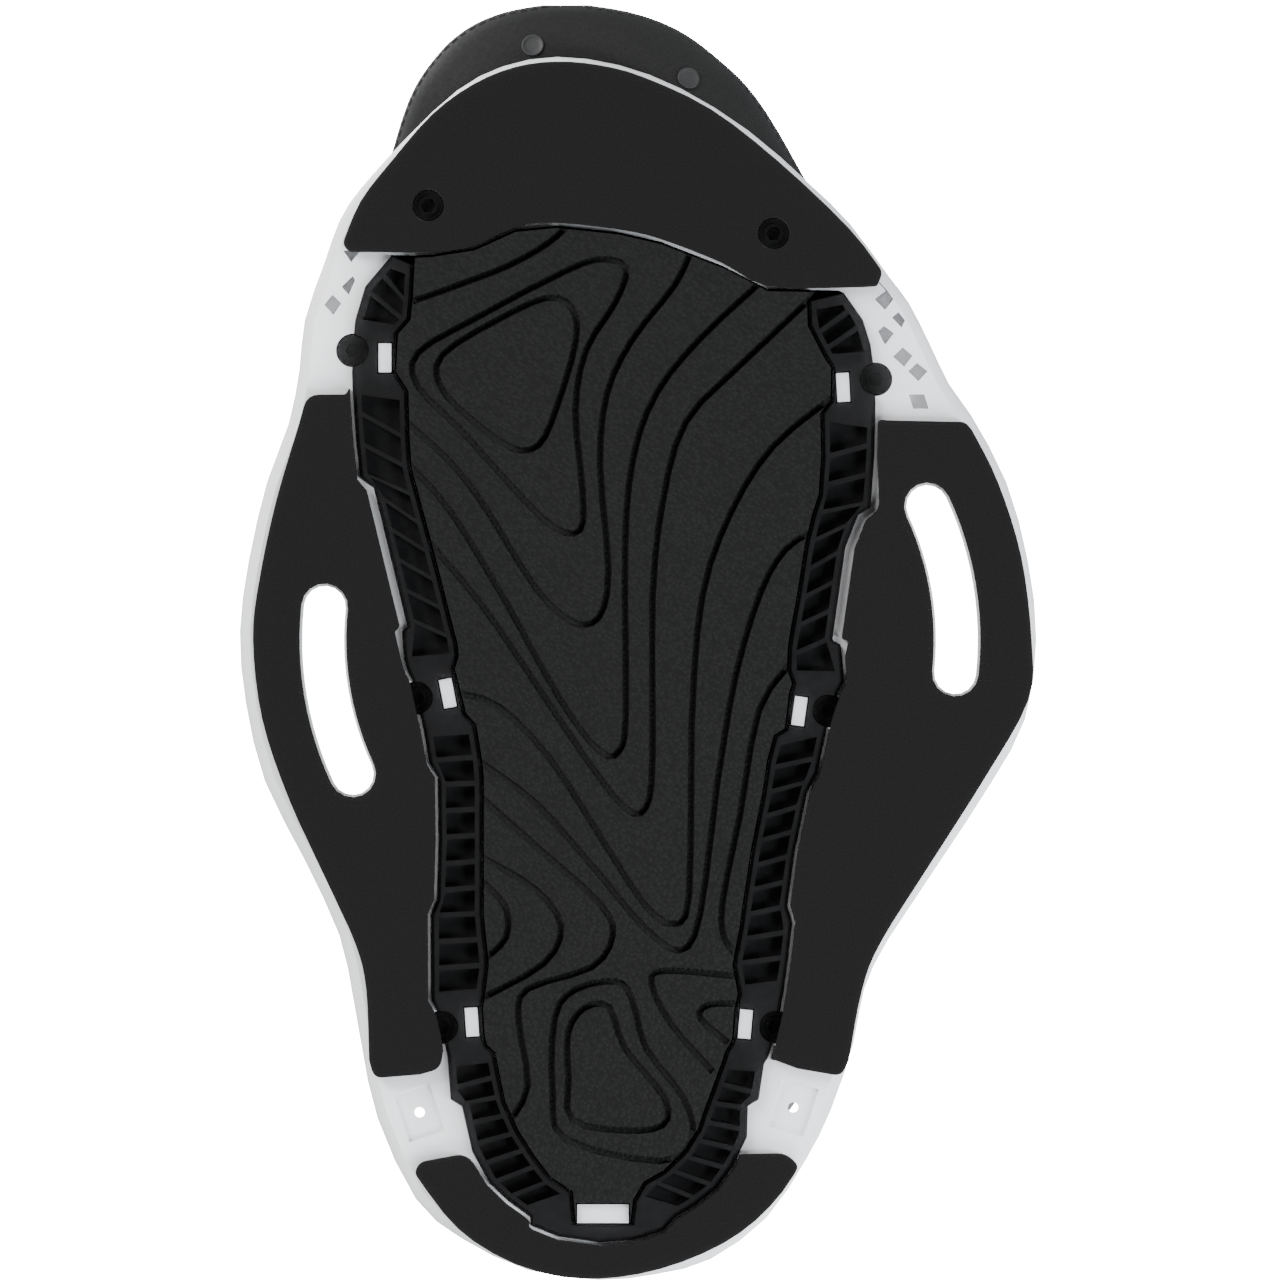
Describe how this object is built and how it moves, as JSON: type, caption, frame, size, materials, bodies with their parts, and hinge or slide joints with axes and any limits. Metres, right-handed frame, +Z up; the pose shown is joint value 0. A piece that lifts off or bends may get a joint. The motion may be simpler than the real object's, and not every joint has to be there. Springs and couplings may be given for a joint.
{
  "type": "wakeboard boot binding",
  "caption": "Closed-toe wakeboard boot on a white board-mount chassis with foam pads, grooved sole, truss rail, dial-and-wire closure and cuff strap.",
  "frame": {"origin": "centre of the circle that both mounting slots follow, on the flat underside that rests on the board", "axes": "+Z up from the board, -Y towards the toe, +Y towards the heel, -X towards the big-toe side"},
  "size_m": [0.1917, 0.3152, 0.267],
  "materials": {
    "nylon_white": "satin moulded nylon",
    "eva_black": "fine closed-cell foam",
    "rubber_black": "pebbled matt rubber",
    "cage_black": "polished glass-filled nylon",
    "screw_black": "black oxide",
    "steel": "bright steel",
    "midsole_foam": "matt foam",
    "footbed_fabric": "brushed knit over foam",
    "shell_leather": "matt synthetic leather",
    "bumper_rubber": "smooth satin rubber",
    "counter_plastic": "satin moulded plastic",
    "tongue_fabric": "padded mesh fabric",
    "liner_foam": "knit lining over foam",
    "stay_leather": "stitched synthetic leather",
    "guide_plastic": "satin",
    "wire_steel": "coated stranded wire",
    "dial_plastic": "satin",
    "spool_plastic": "satin",
    "strap_webbing": "woven webbing",
    "hook_tape": "hook tape"
  },
  "bodies": {
    "boot": {"base_frame": "nylon_white", "frame_wall": "nylon_white", "toe_pad": "eva_black", "side_pad_medial": "eva_black", "side_pad_lateral": "eva_black", "heel_pad": "eva_black", "outsole": "rubber_black", "sole_cage": "cage_black", "toe_screws": "screw_black", "cage_screws": "screw_black", "tee_nuts": "steel", "midsole": "midsole_foam", "footbed": "footbed_fabric", "vamp": "shell_leather", "quarters": "shell_leather", "toe_bumper": "bumper_rubber", "heel_counter": "counter_plastic", "tongue": "tongue_fabric", "liner": "liner_foam", "eyestay_medial": "stay_leather", "eyestay_lateral": "stay_leather", "eyestay_rivets": "steel", "wire_guides_medial": "guide_plastic", "wire_guides_lateral": "guide_plastic", "closure_wire": "wire_steel", "dial_base": "dial_plastic", "dial_ratchet": "dial_plastic", "dial_screw": "steel", "strap_anchor": "counter_plastic", "strap_pin": "steel", "strap_patch": "hook_tape", "heel_pull_loop": "strap_webbing", "tongue_pull_loop": "strap_webbing"},
    "spool": {"dial_spool": "spool_plastic"},
    "knob": {"dial_knob": "dial_plastic"},
    "strap": {"power_strap": "strap_webbing", "strap_barrel": "counter_plastic"}
  },
  "joints": [
    {"name": "dial_turn", "type": "hinge", "parent": "boot", "child": "spool", "pos_m": [-0.0084, 0.0129, 0.173], "axis": [0, -1, 0], "continuous": true},
    {"name": "dial_pull", "type": "slide", "parent": "spool", "child": "knob", "axis": [0, -1, 0], "range_m": [0, 0.0025]},
    {"name": "strap_open", "type": "hinge", "parent": "boot", "child": "strap", "pos_m": [-0.06599, 0.07896, 0.19688], "axis": [0, 0, -1], "range_deg": [0, 110]}
  ]
}
